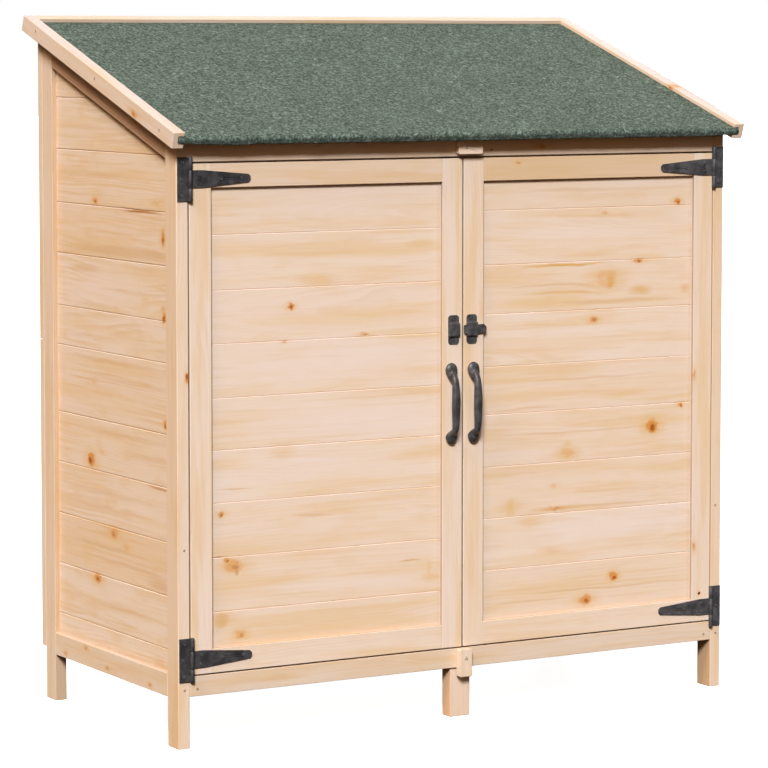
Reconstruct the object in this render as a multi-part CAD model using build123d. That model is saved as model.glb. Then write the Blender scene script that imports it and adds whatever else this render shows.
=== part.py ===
from build123d import *
import math
import os

# Garden shed of pale softwood with a mono-pitch felted roof that falls to the
# front and two framed doors.  Millimetres.  X to the right, Y to the back, Z up.
# Inside this script y = 0 is the front face of the front posts; everything is
# moved by Y_SHIFT at the end so that the origin is the middle of the footprint.

# ---------------------------------------------------------------- dimensions
W = 1040.0            # outer width over the posts
POST_X = 20.3         # post section along X
POST_Y = 37.5         # post section along Y
Y_REAR = 492.7        # rear face of the rear posts
SLOPE = 18.27         # roof pitch, degrees
ROOF_W = 1080.0       # width over the bargeboards
BARGE_T = 20.0        # bargeboard thickness
BARGE_H = 26.0        # bargeboard height, square to the slope
BARGE_L = 583.3       # bargeboard length along the slope
ROOF_Y0 = -33.0       # top front corner of the bargeboards
ROOF_Z0 = 965.5
GROOVE_D = 10.5       # depth of the groove in the bargeboards
FELT_N = 6.5          # felt surface below the bargeboards' top
FELT_T = 2.0
DECK_T = 9.0

HEADER_Z0 = 919.0     # lower edge of the front header
HEADER_T = 20.0
RAIL_Z0, RAIL_Z1 = 82.0, 113.9   # front bottom rail
RAIL_T = 18.0
SIDE_RAIL_Z0, SIDE_RAIL_Z1 = 78.3, 115.8
SIDE_TOP_Z = 924.4    # lower edge of the sloped side rail at the front post
BOARD_T = 8.0         # boards, tongue and groove
SIDE_RECESS = 9.0     # boards behind the posts' outer faces
BOARD_IN = 8.0        # depth of the grooves that take the boards
SIDE_JOINTS = [150.0, 234.6, 319.5, 405.7, 490.0, 602.3, 668.0, 755.0, 839.0, 927.5, 1012.6]

DOOR_T = 19.0
DOOR_Z0, DOOR_Z1 = 116.2, 916.3
L_DOOR = (-497.3, -0.3)
R_DOOR = (2.3, 498.0)
STILE_W = 38.0
DOOR_TOP_RAIL = 38.0
DOOR_BOTTOM_RAIL = 38.6
DOOR_RECESS = 6.0
L_JOINTS = [211.0, 297.0, 383.2, 466.4, 548.5, 633.7, 717.7, 804.7]
R_JOINTS = [237.0, 322.5, 407.5, 494.0, 573.3, 659.5, 740.5, 829.7]

BACK_T = 16.6
BACK_STILE = 38.0
BACK_Z0, BACK_SPLIT, BACK_Z1 = 87.0, 607.0, 1116.0

HINGE_Z = [892.5, 140.3]
HINGE_PLATE_H = 69.0
HINGE_PLATE_W = 21.0
STRAP_L = 107.0
STRAP_H0, STRAP_H1 = 28.0, 13.0
LEAF_T = 2.0
KNUCKLE_R = 3.6
PIN_R = 1.6
PIN_FIT = 0.06
HINGE_AXIS_Y = -4.0
L_AXIS_X, R_AXIS_X = -497.3, 498.0

HANDLE_X = (-23.5, 18.7)
HANDLE_Z = (573.0, 463.6)
HANDLE_PROUD = 20.2   # centre line of the grip in front of the door
GRIP_W, GRIP_T = 15.4, 8.8   # grip at its middle
GRIP_END = 8.2        # width of the grip where it meets the feet
LATCH_Z = 637.8
KEEPER_X = (-27.5, -7.3)
BRACKET_X = (7.4, 27.0)
LATCH_H = 47.8
BOLT_H = 14.6
BOLT_T = 2.0
LATCH_BASE = 1.4      # thickness of the latch plates
BOLT_X = (1.5, 44.0)
BOLT_SLOT = (7.6, 20.6, 8.6)   # ends and height of the slot through the bolt

BUTTON_W, BUTTON_T = 23.5, 11.0
BUTTON_LONG, BUTTON_SHORT = 31.0, 14.6   # from the screw to each end
BUTTON_X = 1.0
BUTTON_GAP = 0.6
TOP_BUTTON_Z, LOW_BUTTON_Z = 934.8, 98.5

FLOOR_Z1, FLOOR_T = 114.0, 10.0
BEARER_W, BEARER_H = 20.0, 20.0

# ---------------------------------------------------------------- derived
TH = math.radians(SLOPE)
C, S, T = math.cos(TH), math.sin(TH), math.tan(TH)
HX = W / 2
DECK_N = FELT_N + FELT_T + DECK_T          # underside of the deck
Y_MAX = ROOF_Y0 + BARGE_L * C + BARGE_H * S
Y_SHIFT = -(ROOF_Y0 + Y_MAX) / 2
Y_REAR0 = Y_REAR - POST_Y
TRIM_S0 = BARGE_L - BARGE_T                # front of the back trim, along the slope


def roof_pt(s, n):
    """Point (y, z) at s along the slope from the front, n below the top."""
    return (ROOF_Y0 + s * C + n * S, ROOF_Z0 + s * S - n * C)


def deck_z(y):
    """Height of the deck's underside at y."""
    return ROOF_Z0 + (y - ROOF_Y0) * T - DECK_N / C


def bx(x0, x1, y0, y1, z0, z1):
    return Pos((x0 + x1) / 2, (y0 + y1) / 2, (z0 + z1) / 2) * Box(abs(x1 - x0), abs(y1 - y0), abs(z1 - z0))


def prism(points, vec):
    """Closed polygon of 3-D points, pushed along vec."""
    wire = Wire.make_polygon([Vector(*p) for p in points], close=True)
    return Part() + Solid.extrude(Face(wire), Vector(*vec))


def prism_x(yz, x0, x1):
    return prism([(x0, y, z) for y, z in yz], (x1 - x0, 0, 0))


def prism_y(xz, y0, y1):
    return prism([(x, y0, z) for x, z in xz], (0, y1 - y0, 0))


def cyl_y(x, z, r, y0, y1):
    return Pos(x, (y0 + y1) / 2, z) * Rot(90, 0, 0) * Cylinder(r, abs(y1 - y0))


def cyl_x(y, z, r, x0, x1):
    return Pos((x0 + x1) / 2, y, z) * Rot(0, 90, 0) * Cylinder(r, abs(x1 - x0))


def cyl_z(x, y, r, z0, z1):
    return Pos(x, y, (z0 + z1) / 2) * Cylinder(r, abs(z1 - z0))


NODES = {}


def put(name, *shapes):
    NODES[name] = [Pos(0, Y_SHIFT, 0) * s for s in shapes]


def board_profile(z0, z1, first, last, v0=0.6, v1=1.1):
    """Section (t, z) of one tongue-and-groove board; t = 0 is its show face.
    The upper edge is eased by v1, the lower one by less, v0."""
    g0, g1, gd = 2.9, 5.6, 4.2
    t0, t1, tl = 3.0, 5.5, 4.0
    pts = [(0, z0 + v0), (v0, z0)]
    if not first:
        pts += [(g0, z0), (g0, z0 + gd), (g1, z0 + gd), (g1, z0)]
    pts += [(BOARD_T, z0), (BOARD_T, z1)]
    if not last:
        pts += [(t1, z1), (t1, z1 + tl), (t0, z1 + tl), (t0, z1)]
    pts += [(v1, z1), (0, z1 - v1)]
    return pts


def boards_x(zs, x0, x1, y_face, sign=1):
    """Boards along X between the heights in zs, show face at y_face."""
    out = []
    for i in range(len(zs) - 1):
        prof = board_profile(zs[i], zs[i + 1], i == 0, i == len(zs) - 2)
        out.append(prism([(x0, y_face + sign * t, z) for t, z in prof], (x1 - x0, 0, 0)))
    return out


# ---------------------------------------------------------------- frame
BX0 = HX - SIDE_RECESS                       # outer face of the side boards
side_groove_top = SIDE_RAIL_Z1 - BOARD_IN


def mirror_x(shape):
    return mirror(shape, about=Plane.YZ)


def post(y0, y1, groove_at):
    """Left post with the top cut to the roof and a groove for the boards."""
    body = prism_x([(y0, 0), (y1, 0), (y1, deck_z(y1)), (y0, deck_z(y0))], -HX, -HX + POST_X)
    if groove_at == "back":
        top = SIDE_TOP_Z + BOARD_IN
        body -= bx(-BX0, -BX0 + BOARD_T, y1 - BOARD_IN, y1 + 1, side_groove_top, top)
    else:
        top = SIDE_TOP_Z + (y0 - POST_Y) * T + BOARD_IN + 6
        body -= bx(-BX0, -BX0 + BOARD_T, y0 - 1, y0 + BOARD_IN, side_groove_top, top)
    return body


fl = post(0, POST_Y, "back")
rl = post(Y_REAR0, Y_REAR, "front")
put("front_left_post", fl)
put("front_right_post", mirror_x(fl))
put("rear_left_post", rl)
put("rear_right_post", mirror_x(rl))

INX = HX - POST_X                            # inner faces of the posts
put("front_header", prism_x([(0, HEADER_Z0), (HEADER_T, HEADER_Z0), (HEADER_T, deck_z(HEADER_T)), (0, deck_z(0))], -INX, INX))
put("front_bottom_rail", bx(-INX, INX, 0, RAIL_T, RAIL_Z0, RAIL_Z1))
put("rear_bottom_rail", bx(-INX, INX, Y_REAR - 20, Y_REAR, RAIL_Z0, RAIL_Z1))
RH = Y_REAR - 20
put("rear_header", prism_x([(RH, deck_z(RH) - 40), (Y_REAR, deck_z(RH) - 40), (Y_REAR, deck_z(Y_REAR)), (RH, deck_z(RH))], -INX, INX))
put("door_stop_strip", bx(-478, 478, HEADER_T, HEADER_T + 12, HEADER_Z0 - 14, HEADER_Z0 + 24))

# Centre leg: full section under the front rail, thinned where it runs up behind it.
leg = bx(-20.3, 17.2, 3.8, 28.6, 0, RAIL_Z0) + bx(-20.3, 17.2, RAIL_T, 28.6, RAIL_Z0, FLOOR_Z1 - FLOOR_T)
put("centre_front_leg", leg)

# ---------------------------------------------------------------- side walls
def side_low(y):
    return SIDE_TOP_Z + (y - POST_Y) * T


top_rail = prism_x([(POST_Y, side_low(POST_Y)), (Y_REAR0, side_low(Y_REAR0)), (Y_REAR0, deck_z(Y_REAR0)), (POST_Y, deck_z(POST_Y))], -HX, -HX + POST_X)
top_rail -= prism_x([(POST_Y - 1, side_low(POST_Y - 1) - 2), (Y_REAR0 + 1, side_low(Y_REAR0 + 1) - 2), (Y_REAR0 + 1, side_low(Y_REAR0 + 1) + BOARD_IN), (POST_Y - 1, side_low(POST_Y - 1) + BOARD_IN)], -BX0, -BX0 + BOARD_T)
bottom_rail = bx(-HX, -HX + POST_X, POST_Y, Y_REAR0, SIDE_RAIL_Z0, SIDE_RAIL_Z1) - bx(-BX0, -BX0 + BOARD_T, POST_Y - 1, Y_REAR0 + 1, side_groove_top, SIDE_RAIL_Z1 + 1)

sy0, sy1 = POST_Y - BOARD_IN, Y_REAR0 + BOARD_IN
zs = [side_groove_top] + SIDE_JOINTS + [side_low(sy1) + BOARD_IN + 2]
outline = prism_x([(sy0, side_groove_top - 5), (sy1, side_groove_top - 5), (sy1, side_low(Y_REAR0) + BOARD_IN), (Y_REAR0, side_low(Y_REAR0) + BOARD_IN), (POST_Y, side_low(POST_Y) + BOARD_IN), (sy0, side_low(POST_Y) + BOARD_IN)], -HX, -HX + POST_X)
side_boards = []
for i in range(len(zs) - 1):
    prof = board_profile(zs[i], zs[i + 1], i == 0, i == len(zs) - 2)
    b = prism([(-BX0 + t, sy0, z) for t, z in prof], (0, sy1 - sy0, 0))
    if zs[i + 1] > SIDE_TOP_Z:
        b = b & outline
    side_boards.append(b)
put("left_side_top_rail", top_rail)
put("right_side_top_rail", mirror_x(top_rail))
put("left_side_bottom_rail", bottom_rail)
put("right_side_bottom_rail", mirror_x(bottom_rail))
put("left_side_boards", *side_boards)
put("right_side_boards", *[mirror_x(b) for b in side_boards])

# ---------------------------------------------------------------- back
by0 = Y_REAR
bface = Y_REAR + BACK_T - 3.6                # show face of the back boards


def back_stile(x0, z0, z1):
    body = bx(x0, x0 + BACK_STILE, by0, by0 + BACK_T, z0, z1)
    gx = (x0 + BACK_STILE - BOARD_IN, x0 + BACK_STILE + 1) if x0 < 0 else (x0 - 1, x0 + BOARD_IN)
    return body - bx(gx[0], gx[1], bface - BOARD_T, bface, z0 - 1, z1 + 1)


bx0, bx1 = -HX + BACK_STILE - BOARD_IN, HX - BACK_STILE + BOARD_IN
put("back_lower_stiles", back_stile(-HX, BACK_Z0, BACK_SPLIT - 0.5), back_stile(HX - BACK_STILE, BACK_Z0, BACK_SPLIT - 0.5))
put("back_upper_stiles", back_stile(-HX, BACK_SPLIT + 0.5, BACK_Z1), back_stile(HX - BACK_STILE, BACK_SPLIT + 0.5, BACK_Z1))
lo = [BACK_Z0 + i * (BACK_SPLIT - 0.5 - BACK_Z0) / 6 for i in range(7)]
hi = [BACK_SPLIT + 0.5 + i * (BACK_Z1 - BACK_SPLIT - 0.5) / 6 for i in range(7)]
put("back_lower_boards", *boards_x(lo, bx0, bx1, bface, -1))
put("back_upper_boards", *boards_x(hi, bx0, bx1, bface, -1))

# ---------------------------------------------------------------- floor
put("floor_bearers",
    bx(-INX, -INX + BEARER_W, RAIL_T, RH, FLOOR_Z1 - FLOOR_T - BEARER_H, FLOOR_Z1 - FLOOR_T),
    bx(-11.5, 8.5, 28.6, RH, FLOOR_Z1 - FLOOR_T - BEARER_H, FLOOR_Z1 - FLOOR_T),
    bx(INX - BEARER_W, INX, RAIL_T, RH, FLOOR_Z1 - FLOOR_T - BEARER_H, FLOOR_Z1 - FLOOR_T))
n_floor = 5
fw = (RH - RAIL_T) / n_floor
put("floor_boards", *[bx(-INX, INX, RAIL_T + i * fw + 0.5, RAIL_T + (i + 1) * fw - 0.5, FLOOR_Z1 - FLOOR_T, FLOOR_Z1) for i in range(n_floor)])

# ---------------------------------------------------------------- roof
def roof_prism(sn, x0, x1):
    return prism_x([roof_pt(s, n) for s, n in sn], x0, x1)


RX = ROOF_W / 2
RIN = RX - BARGE_T                           # inner face of the bargeboards
barge = roof_prism([(0, 0), (BARGE_L, 0), (BARGE_L, BARGE_H), (0, BARGE_H)], -RX, -RIN)
barge -= roof_prism([(-1, FELT_N), (TRIM_S0 + 8, FELT_N), (TRIM_S0 + 8, DECK_N), (-1, DECK_N)], -RIN - GROOVE_D, -RIN + 1)
trim = roof_prism([(TRIM_S0, 0), (BARGE_L, 0), (BARGE_L, BARGE_H), (TRIM_S0, BARGE_H)], -RIN, RIN)
trim -= roof_prism([(TRIM_S0 - 1, FELT_N), (TRIM_S0 + 8, FELT_N), (TRIM_S0 + 8, DECK_N), (TRIM_S0 - 1, DECK_N)], -RIN - 1, RIN + 1)
DX = RIN + GROOVE_D - 0.5
deck = roof_prism([(FELT_T + 0.5, FELT_N + FELT_T), (TRIM_S0 + 7.5, FELT_N + FELT_T), (TRIM_S0 + 7.5, DECK_N), (FELT_T + 0.5, DECK_N)], -DX, DX)
felt = roof_prism([(TRIM_S0 + 7.5, FELT_N), (TRIM_S0 + 7.5, FELT_N + FELT_T), (FELT_T + 0.5, FELT_N + FELT_T), (FELT_T + 0.5, DECK_N), (0.5, DECK_N), (0.5, FELT_N + 3.0), (1.4, FELT_N + 0.9), (3.5, FELT_N)], -DX, DX)
put("left_bargeboard", barge)
put("right_bargeboard", mirror_x(barge))
put("back_roof_trim", trim)
put("roof_deck", deck)
put("roof_felt", felt)

# ---------------------------------------------------------------- doors
def door(prefix, span, joints, hinge_left):
    x0, x1 = span
    o0, o1 = x0 + STILE_W, x1 - STILE_W
    rz0, rz1 = DOOR_Z0 + DOOR_BOTTOM_RAIL, DOOR_Z1 - DOOR_TOP_RAIL
    gy0, gy1 = DOOR_RECESS, DOOR_RECESS + BOARD_T
    left = bx(x0, o0, 0, DOOR_T, DOOR_Z0, DOOR_Z1) - bx(o0 - BOARD_IN, o0 + 1, gy0, gy1, rz0 - BOARD_IN, rz1 + BOARD_IN)
    right = bx(o1, x1, 0, DOOR_T, DOOR_Z0, DOOR_Z1) - bx(o1 - 1, o1 + BOARD_IN, gy0, gy1, rz0 - BOARD_IN, rz1 + BOARD_IN)
    top = bx(o0, o1, 0, DOOR_T, rz1, DOOR_Z1) - bx(o0 - 1, o1 + 1, gy0, gy1, rz1 - 1, rz1 + BOARD_IN)
    low = bx(o0, o1, 0, DOOR_T, DOOR_Z0, rz0) - bx(o0 - 1, o1 + 1, gy0, gy1, rz0 - BOARD_IN, rz0 + 1)
    zs = [rz0 - BOARD_IN] + joints + [rz1 + BOARD_IN]
    put(prefix + "_hinge_stile", left if hinge_left else right)
    put(prefix + "_meeting_stile", right if hinge_left else left)
    put(prefix + "_top_rail", top)
    put(prefix + "_bottom_rail", low)
    put(prefix + "_boards", *boards_x(zs, o0 - BOARD_IN, o1 + BOARD_IN, gy0))


door("left_door", L_DOOR, L_JOINTS, True)
door("right_door", R_DOOR, R_JOINTS, False)

# ---------------------------------------------------------------- hinges
SCREW_HEAD_R, SCREW_HEAD_H, SCREW_R = 3.1, 1.1, 1.5


def front_screw(x, z, y_seat, depth, r=SCREW_R, hr=SCREW_HEAD_R, hh=SCREW_HEAD_H):
    """Pan-head screw driven towards +Y with its head seated at y_seat."""
    head = cyl_y(x, z, hr, y_seat - hh, y_seat)
    return head + cyl_y(x, z, r, y_seat - 0.2, y_seat + depth)


def side_sign(ax):
    return -1 if ax < 0 else 1


HP = HINGE_PLATE_H / 2
MID = STRAP_H0 / 2 + 0.5
hinge_pins, plate_screws = [], []
strap_screws = {"left": [], "right": []}
for side, ax in (("left", L_AXIS_X), ("right", R_AXIS_X)):
    o = side_sign(ax)                        # towards the outside of the shed
    for place, zc in zip(("top", "bottom"), HINGE_Z):
        name = f"{side}_{place}_hinge"
        axis_y = HINGE_AXIS_Y
        leaf = bx(ax + o * 1.5, ax + o * HINGE_PLATE_W, -LEAF_T, 0, zc - HP, zc + HP)
        leaf -= bx(ax - o * 5, ax + o * (KNUCKLE_R - 0.2), -LEAF_T - 1, 1, zc - MID, zc + MID)
        plate = leaf + cyl_z(ax, axis_y, KNUCKLE_R, zc + MID, zc + HP) + cyl_z(ax, axis_y, KNUCKLE_R, zc - HP, zc - MID)
        plate -= cyl_z(ax, axis_y, PIN_R, zc - HP - 1, zc + HP + 1)
        for dz in (-26.0, 0.0, 26.0):
            px = ax + o * (13.5 if dz == 0 else 12.0)
            plate -= cyl_y(px, zc + dz, SCREW_R, -LEAF_T - 1, 1)
            plate_screws.append(front_screw(px, zc + dz, -LEAF_T, 15))
        put(name + "_plate", plate)

        h0, h1 = STRAP_H0 / 2 - 0.2, STRAP_H1 / 2
        L = STRAP_L
        xz = [(1.5, -h0), (22, -h0), (L - 3.5, -h1), (L, -h1 + 3.5), (L, h1 - 3.5), (L - 3.5, h1), (22, h0), (1.5, h0)]
        strap = prism_y([(ax - o * x, zc + z) for x, z in xz], -LEAF_T, 0)
        strap += cyl_z(ax, axis_y, KNUCKLE_R, zc - h0, zc + h0)
        strap -= cyl_z(ax, axis_y, PIN_R + PIN_FIT, zc - HP, zc + HP)
        for x, dz in ((17.0, -7.0), (17.0, 7.0), (55.0, 0.0), (92.0, 0.0)):
            strap -= cyl_y(ax - o * x, zc + dz, SCREW_R, -LEAF_T - 1, 1)
            strap_screws[side].append(front_screw(ax - o * x, zc + dz, -LEAF_T, 13))
        put(name + "_strap", strap)

        pin = cyl_z(ax, axis_y, PIN_R, zc - HP - 0.5, zc + HP + 0.5)
        pin += cyl_z(ax, axis_y, 2.5, zc + HP, zc + HP + 0.8)
        pin += cyl_z(ax, axis_y, 2.5, zc - HP - 0.8, zc - HP)
        hinge_pins.append(pin)
put("hinge_pins", *hinge_pins)

# ---------------------------------------------------------------- handles
def handle(x):
    """Cast bow handle: a grip that is widest in the middle, between two rounded feet."""
    z1, z0 = HANDLE_Z
    zm, h = (z0 + z1) / 2, (z1 - z0) / 2
    line = [(1.0, 6.5, 0.0), (0.86, 11.8, 0.0), (0.70, 16.4, 0.14), (0.45, 19.2, 0.62), (0.0, HANDLE_PROUD, 1.0)]
    line += [(-t, d, w) for t, d, w in reversed(line[:-1])]
    path = Spline(*[(x, -d, zm + t * h) for t, d, _ in line])
    sections = []
    for i, (_, d, w) in enumerate(line):
        at = min(range(401), key=lambda k: abs((path @ (k / 400)).Z - (zm + line[i][0] * h))) / 400
        half = (GRIP_END + (GRIP_W - GRIP_END) * w) / 2
        sections.append(Plane(origin=path @ at, x_dir=(1, 0, 0), z_dir=path % at) * Ellipse(half, (7.4 + (GRIP_T - 7.4) * w) / 2))
    solid = Part() + loft([s.face() for s in sections])
    for z in (z0, z1):
        ball = Pos(x, -5.6, z) * Sphere(10.8)
        ball = ball & bx(x - 20, x + 20, -30, 0, z - 20, z + 20)
        solid += ball
    return solid


put("left_door_handle", handle(HANDLE_X[0]))
put("right_door_handle", handle(HANDLE_X[1]))

# ---------------------------------------------------------------- latch
def latch_plate(x0, x1):
    """Base plate with screw ears and a bridge that the bolt runs through."""
    h = LATCH_H / 2
    w = (x1 - x0)
    xm = (x0 + x1) / 2
    r = 5.2
    arc = [(r * (1 - math.cos(math.radians(t))), r * (1 - math.sin(math.radians(t)))) for t in range(0, 91, 15)]
    ear = [(x0 + a, -h + b) for a, b in arc] + [(x1 - a, -h + b) for a, b in reversed(arc)]
    ear += [(x1 - a, h - b) for a, b in arc] + [(x0 + a, h - b) for a, b in reversed(arc)]
    base = prism_y([(x, LATCH_Z + z) for x, z in ear], -LATCH_BASE, 0)
    hi = BOLT_H / 2 + 0.6
    lid_in, lid_out = -LATCH_BASE - BOLT_T - 0.8, -LATCH_BASE - BOLT_T - 2.1
    side = [(-LATCH_BASE + 0.4, 12.7), (-LATCH_BASE, 12.4), (lid_out + 0.9, 10.6), (lid_out + 0.25, 10.1), (lid_out, 9.2)]
    bridge = prism_x([(y, LATCH_Z + z) for y, z in side] + [(y, LATCH_Z - z) for y, z in reversed(side)], x0, x1)
    bridge -= bx(x0 - 1, x1 + 1, lid_in, -LATCH_BASE, LATCH_Z - hi, LATCH_Z + hi)
    body = base + bridge
    screws = []
    for dz in (-(h - 6.3), h - 6.3):
        body -= cyl_y(xm, LATCH_Z + dz, SCREW_R, -4, 1)
        screws.append(front_screw(xm, LATCH_Z + dz, -LATCH_BASE, 13, hr=3.0))
    return body, screws


keeper, keeper_screws = latch_plate(*KEEPER_X)
bracket, bracket_screws = latch_plate(*BRACKET_X)
put("latch_keeper", keeper)
put("latch_bracket", bracket)
hb = BOLT_H / 2
bolt_y1 = -LATCH_BASE - 0.4
bolt_y0 = bolt_y1 - BOLT_T
b0, b1 = BOLT_X
bolt = prism_y([(b0 + 1.2, -hb), (b1 - 4.5, -hb), (b1, -hb + 4.5), (b1, hb - 4.5), (b1 - 4.5, hb), (b0 + 1.2, hb), (b0, hb - 1.2), (b0, -hb + 1.2)], bolt_y0, bolt_y1)
bolt = Pos(0, 0, LATCH_Z) * bolt
bolt -= cyl_y(b1 - 7.0, LATCH_Z, 3.2, bolt_y0 - 1, bolt_y0 + 1.2)
s0, s1, sh = BOLT_SLOT
slot = bx(s0 + sh / 2, s1 - sh / 2, bolt_y0 - 1, bolt_y1 + 1, LATCH_Z - sh / 2, LATCH_Z + sh / 2)
for sx in (s0 + sh / 2, s1 - sh / 2):
    slot += cyl_y(sx, LATCH_Z, sh / 2, bolt_y0 - 1, bolt_y1 + 1)
bolt -= slot
put("latch_bolt", bolt)

# ---------------------------------------------------------------- turn buttons
PIVOT_R = 1.7


def turn_button(z, along):
    """Wooden button with its screw at (BUTTON_X, z); along is where its long end points."""
    y1 = -BUTTON_GAP
    y0 = y1 - BUTTON_T
    hw, c = BUTTON_W / 2, 1.6
    u = [(-hw + c, -BUTTON_SHORT), (hw - c, -BUTTON_SHORT), (hw, -BUTTON_SHORT + c), (hw, BUTTON_LONG - c), (hw - c, BUTTON_LONG), (-hw + c, BUTTON_LONG), (-hw, BUTTON_LONG - c), (-hw, -BUTTON_SHORT + c)]
    dx, dz = along
    pts = [(BUTTON_X + b * dx + a * dz, z + b * dz - a * dx) for a, b in u]
    body = prism_y(pts, y0, y1) - cyl_y(BUTTON_X, z, PIVOT_R + PIN_FIT, y0 - 1, y1 + 1)
    head = cyl_y(BUTTON_X, z, 3.0, y0 - 0.4 - 1.3, y0 - 0.4)
    screw = head + cyl_y(BUTTON_X, z, PIVOT_R, y0 - 0.6, 15)
    return body, screw


top_button, top_screw = turn_button(TOP_BUTTON_Z, (1, 0))
low_button, low_screw = turn_button(LOW_BUTTON_Z, (0, -1))
put("top_turn_button", top_button)
put("bottom_turn_button", low_button)
put("turn_button_screws", top_screw, low_screw)

# ---------------------------------------------------------------- fasteners
frame_screws = [front_screw(x, z, 0, 16, r=1.4, hr=2.1, hh=0.5) for x, z in ((-508.6, 313.7), (-508.6, 93.1), (508.6, 313.7), (510.9, 92.8), (-486.3, 93.4), (485.6, 92.8), (55.0, 929.4))]
put("frame_screws", *frame_screws)
put("hinge_plate_screws", *plate_screws)
put("left_door_screws", *(strap_screws["left"] + keeper_screws))
put("right_door_screws", *(strap_screws["right"] + bracket_screws))

nails = []
for y, z in ((473.4, 1121.1), (247.7, 1045.6), (17.0, 968.1)):
    for o in (-1, 1):
        nails.append(bx(o * (RX - 0.2), o * (RX + 0.4), y - 0.8, y + 0.8, z - 2.6, z + 2.6) + cyl_x(y, z, 0.75, o * (RX - 24), o * (RX + 0.2)))
put("bargeboard_nails", *nails)
panel_nails = []
for x in (-HX + 10, HX - 10):
    for z in (150, 380, 585, 630, 860, 1085):
        panel_nails.append(cyl_y(x, z, 2.2, Y_REAR + BACK_T, Y_REAR + BACK_T + 0.4) + cyl_y(x, z, 1.1, Y_REAR - 15, Y_REAR + BACK_T + 0.2))
put("back_panel_nails", *panel_nails)

# ---------------------------------------------------------------- write
os.makedirs("parts", exist_ok=True)
for name, shapes in NODES.items():
    solids = []
    for s in shapes:
        solids += list(s.solids())
    export_step(solids[0] if len(solids) == 1 else Compound(children=solids), f"parts/{name}.step")
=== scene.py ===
import math

import bmesh
import bpy
from mathutils import Matrix, Vector, noise


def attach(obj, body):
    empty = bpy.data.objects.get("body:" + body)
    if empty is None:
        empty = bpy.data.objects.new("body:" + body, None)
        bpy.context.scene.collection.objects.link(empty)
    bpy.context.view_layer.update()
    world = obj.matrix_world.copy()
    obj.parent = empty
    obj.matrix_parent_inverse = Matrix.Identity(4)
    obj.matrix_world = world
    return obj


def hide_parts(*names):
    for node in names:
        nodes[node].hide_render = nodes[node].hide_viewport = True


# A small garden shed of pale, unpainted softwood with a green felted roof that
# falls to the front and two framed doors on black hardware.
# Lengths in the code are millimetres in the shed's own frame unless a name says
# otherwise; Blender's own units are metres.

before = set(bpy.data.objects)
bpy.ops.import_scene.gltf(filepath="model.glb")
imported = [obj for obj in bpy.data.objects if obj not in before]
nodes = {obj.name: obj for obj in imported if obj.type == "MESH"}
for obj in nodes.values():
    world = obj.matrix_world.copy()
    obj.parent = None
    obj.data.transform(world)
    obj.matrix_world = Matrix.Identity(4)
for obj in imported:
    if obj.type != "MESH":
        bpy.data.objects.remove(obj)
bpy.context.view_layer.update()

# ------------------------------------------------------------------ dimensions
Y0 = -248.02329              # front face of the posts
SLOPE = math.radians(18.27)
CS, SN = math.cos(SLOPE), math.sin(SLOPE)
ROOF_Y0, ROOF_Z0 = -33.0, 965.5      # top front corner of the bargeboards, y from the front face
SIDE_JOINTS = [107.8, 150.0, 234.6, 319.5, 405.7, 490.0, 602.3, 668.0, 755.0, 839.0, 927.5, 1012.6, 1082.0]
L_JOINTS = [146.8, 211.0, 297.0, 383.2, 466.4, 548.5, 633.7, 717.7, 804.7, 886.3]
R_JOINTS = [146.8, 237.0, 322.5, 407.5, 494.0, 573.3, 659.5, 740.5, 829.7, 886.3]
BACK_LO = [87.0 + i * 519.5 / 6 for i in range(7)]
BACK_HI = [607.5 + i * 508.5 / 6 for i in range(7)]
FLOOR_JOINTS = [Y0 + 18.0 + i * 454.7 / 5 for i in range(6)]


def srgb(r, g, b):
    def lin(c):
        c /= 255.0
        return c / 12.92 if c <= 0.04045 else ((c + 0.055) / 1.055) ** 2.4
    return (lin(r), lin(g), lin(b), 1.0)


# ------------------------------------------------------------------ node kit
class S:
    """A number inside a node tree, with ordinary arithmetic."""

    def __init__(self, kit, socket):
        self.k, self.s = kit, socket

    def __add__(self, o): return self.k.m("ADD", self, o)
    def __radd__(self, o): return self.k.m("ADD", o, self)
    def __sub__(self, o): return self.k.m("SUBTRACT", self, o)
    def __rsub__(self, o): return self.k.m("SUBTRACT", o, self)
    def __mul__(self, o): return self.k.m("MULTIPLY", self, o)
    def __rmul__(self, o): return self.k.m("MULTIPLY", o, self)
    def __truediv__(self, o): return self.k.m("DIVIDE", self, o)


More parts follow.
